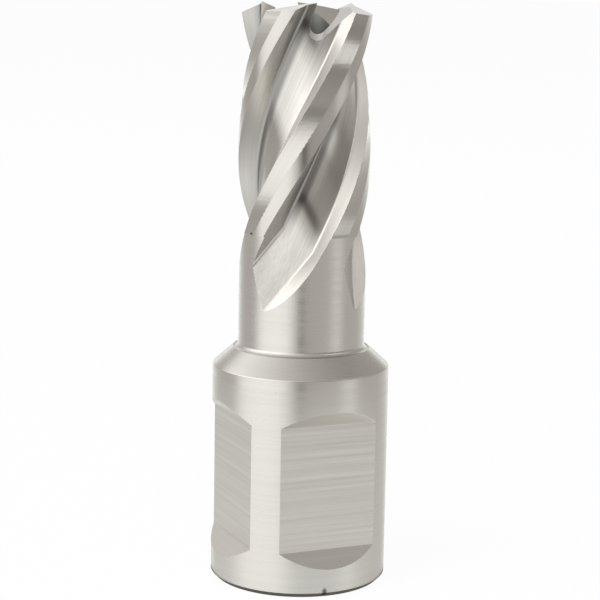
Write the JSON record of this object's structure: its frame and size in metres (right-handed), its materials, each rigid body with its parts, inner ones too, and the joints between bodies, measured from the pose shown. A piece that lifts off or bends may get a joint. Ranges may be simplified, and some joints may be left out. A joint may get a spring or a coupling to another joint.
{
  "type": "annular cutter",
  "caption": "One-piece annular cutter with a round shank, two drive flats, a slim neck and a hollow head with helical flutes and end teeth.",
  "frame": {"origin": "centre of the shank's end face, on the tool axis", "axes": "+Z along the tool axis from the shank end to the teeth, -Y towards the viewer of the picture"},
  "size_m": [0.019, 0.019, 0.062],
  "materials": {
    "tool_steel": "bright ground high-speed steel: turned shank, milled flats, ground flutes"
  },
  "bodies": {
    "root": {"annular_cutter": "tool_steel"}
  },
  "joints": []
}
